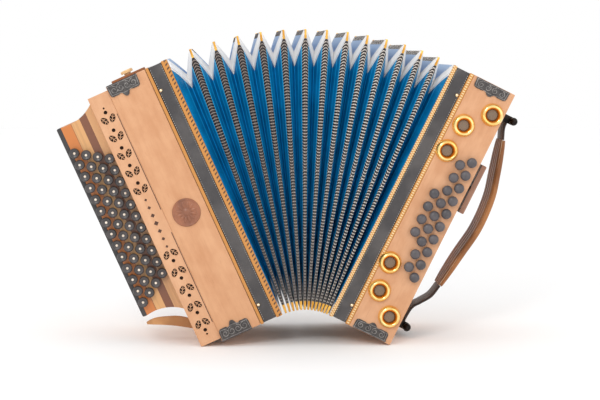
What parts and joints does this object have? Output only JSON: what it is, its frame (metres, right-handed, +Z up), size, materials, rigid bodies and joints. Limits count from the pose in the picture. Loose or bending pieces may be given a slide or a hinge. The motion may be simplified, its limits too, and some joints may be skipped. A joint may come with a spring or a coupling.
{
  "type": "button accordion",
  "caption": "Diatonic button accordion with fanned bellows between a treble half with a stepped fingerboard and a bass half with horns and a padded hand strap.",
  "frame": {"origin": "middle of the bounding box's underside, on the surface that the two halves stand on", "axes": "+X from the treble half to the bass half, +Y from the front to the back, +Z up"},
  "size_m": [0.5962, 0.217, 0.4034],
  "materials": {
    "maple": "oiled pear-toned maple",
    "striped_wood": "laminated strips of light and dark wood",
    "black_wood": "black stained strip",
    "frame_leather": "dark grey grained leather with stitching",
    "edging": "rope and chequer inlay in golden wood",
    "brass": "polished brass",
    "pewter": "dark pressed metal with relief",
    "carved_wood": "carved walnut",
    "dark_cloth": "sound cloth",
    "spruce": "plain spruce",
    "reed_metal": "milled",
    "steel": "ground rod",
    "treble_button": "dark ring with a pearl centre",
    "bass_button": "satin dome",
    "brown_leather": "oiled brown leather, stitched",
    "dark_leather": "dark brown band leather",
    "black_metal": "black lacquered",
    "ivory": "cream stud",
    "walnut": "satin walnut",
    "crest_tape": "woven chevron tape",
    "bellows_cloth": "blue bellows cloth on card"
  },
  "bodies": {
    "treble": {"treble_casing": "maple", "treble_frame": "frame_leather", "treble_frame_edging": "edging", "treble_frame_pins": "brass", "treble_corner_plates": "pewter", "treble_cover": "maple", "cover_cloth": "dark_cloth", "medallion": "carved_wood", "fingerboard": "striped_wood", "fingerboard_body": "maple", "fingerboard_edge": "black_wood", "treble_soundboard": "spruce", "treble_reed_blocks": "spruce", "treble_reed_plates": "reed_metal", "lever_axle": "steel", "strap_eyes": "brass", "strap_tab": "brown_leather", "strap_stud": "ivory", "lower_strap": "brown_leather", "bellows_pleats": "bellows_cloth"},
    "bass": {"bass_casing": "maple", "bass_frame": "frame_leather", "bass_frame_edging": "edging", "bass_frame_pins": "brass", "bass_corner_plates": "pewter", "bass_horns": "brass", "bass_soundboard": "spruce", "bass_reed_blocks": "spruce", "hand_strap": "brown_leather", "hand_strap_band": "dark_leather", "strap_brackets": "black_metal", "air_key_plate": "black_metal"},
    "fold_01": {"bellows_fold_01": "crest_tape"},
    "fold_02": {"bellows_fold_02": "crest_tape"},
    "fold_03": {"bellows_fold_03": "crest_tape"},
    "fold_04": {"bellows_fold_04": "crest_tape"},
    "fold_05": {"bellows_fold_05": "crest_tape"},
    "fold_06": {"bellows_fold_06": "crest_tape"},
    "fold_07": {"bellows_fold_07": "crest_tape"},
    "fold_08": {"bellows_fold_08": "crest_tape"},
    "fold_09": {"bellows_fold_09": "crest_tape"},
    "fold_10": {"bellows_fold_10": "crest_tape"},
    "fold_11": {"bellows_fold_11": "crest_tape"},
    "fold_12": {"bellows_fold_12": "crest_tape"},
    "fold_13": {"bellows_fold_13": "crest_tape"},
    "treble_buttons_row_1": {"treble_buttons_row_1": "treble_button"},
    "treble_levers_row_1": {"treble_levers_row_1": "reed_metal"},
    "treble_buttons_row_2": {"treble_buttons_row_2": "treble_button"},
    "treble_levers_row_2": {"treble_levers_row_2": "reed_metal"},
    "treble_buttons_row_3": {"treble_buttons_row_3": "treble_button"},
    "treble_levers_row_3": {"treble_levers_row_3": "reed_metal"},
    "treble_buttons_row_4": {"treble_buttons_row_4": "treble_button"},
    "treble_levers_row_4": {"treble_levers_row_4": "reed_metal"},
    "bass_buttons_row_1": {"bass_buttons_row_1": "bass_button"},
    "bass_buttons_row_2": {"bass_buttons_row_2": "bass_button"},
    "bass_buttons_row_3": {"bass_buttons_row_3": "bass_button"},
    "air_key": {"air_key": "walnut", "air_valve": "walnut"},
    "strap_roller_upper": {"strap_roller_upper": "black_metal"},
    "strap_roller_lower": {"strap_roller_lower": "black_metal"}
  },
  "joints": [
    {"name": "bellows_fan", "type": "hinge", "parent": "treble", "child": "bass", "pos_m": [0.01798, -0.0035, 0.0487], "axis": [0, 1, 0], "range_deg": [-50.5, 16.5], "deforming": ["bellows_pleats"]},
    {"name": "fold_01_swing", "type": "hinge", "parent": "treble", "child": "fold_01", "pos_m": [-0.00963, -0.0035, 0.04133], "axis": [0, 1, 0], "range_deg": [-4.32, 1.42]},
    {"name": "fold_02_swing", "type": "hinge", "parent": "treble", "child": "fold_02", "pos_m": [-0.00725, -0.0035, 0.04229], "axis": [0, 1, 0], "range_deg": [-8.51, 2.79]},
    {"name": "fold_03_swing", "type": "hinge", "parent": "treble", "child": "fold_03", "pos_m": [-0.00491, -0.0035, 0.04317], "axis": [0, 1, 0], "range_deg": [-12.6, 4.12]},
    {"name": "fold_04_swing", "type": "hinge", "parent": "treble", "child": "fold_04", "pos_m": [-0.00261, -0.0035, 0.04398], "axis": [0, 1, 0], "range_deg": [-16.59, 5.43]},
    {"name": "fold_05_swing", "type": "hinge", "parent": "treble", "child": "fold_05", "pos_m": [-0.00034, -0.0035, 0.04471], "axis": [0, 1, 0], "range_deg": [-20.46, 6.69]},
    {"name": "fold_06_swing", "type": "hinge", "parent": "treble", "child": "fold_06", "pos_m": [0.00188, -0.0035, 0.04538], "axis": [0, 1, 0], "range_deg": [-24.23, 7.92]},
    {"name": "fold_07_swing", "type": "hinge", "parent": "treble", "child": "fold_07", "pos_m": [0.00406, -0.0035, 0.04598], "axis": [0, 1, 0], "range_deg": [-27.89, 9.12]},
    {"name": "fold_08_swing", "type": "hinge", "parent": "treble", "child": "fold_08", "pos_m": [0.0062, -0.0035, 0.04652], "axis": [0, 1, 0], "range_deg": [-31.44, 10.28]},
    {"name": "fold_09_swing", "type": "hinge", "parent": "treble", "child": "fold_09", "pos_m": [0.00829, -0.0035, 0.047], "axis": [0, 1, 0], "range_deg": [-34.89, 11.41]},
    {"name": "fold_10_swing", "type": "hinge", "parent": "treble", "child": "fold_10", "pos_m": [0.01033, -0.0035, 0.04744], "axis": [0, 1, 0], "range_deg": [-38.23, 12.5]},
    {"name": "fold_11_swing", "type": "hinge", "parent": "treble", "child": "fold_11", "pos_m": [0.01232, -0.0035, 0.04782], "axis": [0, 1, 0], "range_deg": [-41.46, 13.55]},
    {"name": "fold_12_swing", "type": "hinge", "parent": "treble", "child": "fold_12", "pos_m": [0.01426, -0.0035, 0.04815], "axis": [0, 1, 0], "range_deg": [-44.58, 14.57]},
    {"name": "fold_13_swing", "type": "hinge", "parent": "treble", "child": "fold_13", "pos_m": [0.01615, -0.0035, 0.04845], "axis": [0, 1, 0], "range_deg": [-47.6, 15.56]},
    {"name": "treble_row_1_press", "type": "slide", "parent": "treble", "child": "treble_buttons_row_1", "axis": [0, 1, 0], "range_m": [0, 0.0035], "stiffness_N_per_m": 500, "springref_m": -0.002},
    {"name": "treble_row_1_lever", "type": "hinge", "parent": "treble", "child": "treble_levers_row_1", "pos_m": [-0.1744, -0.0435, 0.16323], "axis": [0.4083, 0, -0.9128], "range_deg": [0, 3.46]},
    {"name": "treble_row_2_press", "type": "slide", "parent": "treble", "child": "treble_buttons_row_2", "axis": [0, 1, 0], "range_m": [0, 0.0035], "stiffness_N_per_m": 500, "springref_m": -0.002},
    {"name": "treble_row_2_lever", "type": "hinge", "parent": "treble", "child": "treble_levers_row_2", "pos_m": [-0.1744, -0.0435, 0.16323], "axis": [0.4083, 0, -0.9128], "range_deg": [0, 4.42]},
    {"name": "treble_row_3_press", "type": "slide", "parent": "treble", "child": "treble_buttons_row_3", "axis": [0, 1, 0], "range_m": [0, 0.0035], "stiffness_N_per_m": 500, "springref_m": -0.002},
    {"name": "treble_row_3_lever", "type": "hinge", "parent": "treble", "child": "treble_levers_row_3", "pos_m": [-0.1744, -0.0435, 0.16323], "axis": [0.4083, 0, -0.9128], "range_deg": [0, 6.12]},
    {"name": "treble_row_4_press", "type": "slide", "parent": "treble", "child": "treble_buttons_row_4", "axis": [0, 1, 0], "range_m": [0, 0.0035], "stiffness_N_per_m": 500, "springref_m": -0.002},
    {"name": "treble_row_4_lever", "type": "hinge", "parent": "treble", "child": "treble_levers_row_4", "pos_m": [-0.1744, -0.0435, 0.16323], "axis": [0.4083, 0, -0.9128], "range_deg": [0, 9.93]},
    {"name": "bass_row_1_press", "type": "slide", "parent": "bass", "child": "bass_buttons_row_1", "axis": [0, 1, 0], "range_m": [0, 0.0035], "stiffness_N_per_m": 400, "springref_m": -0.002},
    {"name": "bass_row_2_press", "type": "slide", "parent": "bass", "child": "bass_buttons_row_2", "axis": [0, 1, 0], "range_m": [0, 0.0035], "stiffness_N_per_m": 400, "springref_m": -0.002},
    {"name": "bass_row_3_press", "type": "slide", "parent": "bass", "child": "bass_buttons_row_3", "axis": [0, 1, 0], "range_m": [0, 0.0035], "stiffness_N_per_m": 400, "springref_m": -0.002},
    {"name": "air_key_press", "type": "slide", "parent": "bass", "child": "air_key", "axis": [-0.8957, 0, 0.4446], "range_m": [0, 0.0035], "stiffness_N_per_m": 400, "springref_m": -0.003},
    {"name": "strap_roller_upper_turn", "type": "hinge", "parent": "bass", "child": "strap_roller_upper", "pos_m": [0.29314, -0.0035, 0.28399], "axis": [0, 1, 0], "continuous": true},
    {"name": "strap_roller_lower_turn", "type": "hinge", "parent": "bass", "child": "strap_roller_lower", "pos_m": [0.15439, -0.0035, 0.01347], "axis": [0, 1, 0], "continuous": true}
  ],
  "couplings": [
    {"joint": "fold_01_swing", "follows": "bellows_fan", "ratio": 0.085253},
    {"joint": "fold_02_swing", "follows": "bellows_fan", "ratio": 0.16838},
    {"joint": "fold_03_swing", "follows": "bellows_fan", "ratio": 0.24938},
    {"joint": "fold_04_swing", "follows": "bellows_fan", "ratio": 0.32825},
    {"joint": "fold_05_swing", "follows": "bellows_fan", "ratio": 0.405},
    {"joint": "fold_06_swing", "follows": "bellows_fan", "ratio": 0.47962},
    {"joint": "fold_07_swing", "follows": "bellows_fan", "ratio": 0.55211},
    {"joint": "fold_08_swing", "follows": "bellows_fan", "ratio": 0.62247},
    {"joint": "fold_09_swing", "follows": "bellows_fan", "ratio": 0.69071},
    {"joint": "fold_10_swing", "follows": "bellows_fan", "ratio": 0.75682},
    {"joint": "fold_11_swing", "follows": "bellows_fan", "ratio": 0.82081},
    {"joint": "fold_12_swing", "follows": "bellows_fan", "ratio": 0.88267},
    {"joint": "fold_13_swing", "follows": "bellows_fan", "ratio": 0.9424},
    {"joint": "treble_row_1_lever", "follows": "treble_row_1_press", "rad_per_m": 17.241},
    {"joint": "treble_row_2_lever", "follows": "treble_row_2_press", "rad_per_m": 22.026},
    {"joint": "treble_row_3_lever", "follows": "treble_row_3_press", "rad_per_m": 30.488},
    {"joint": "treble_row_4_lever", "follows": "treble_row_4_press", "rad_per_m": 49.505}
  ]
}
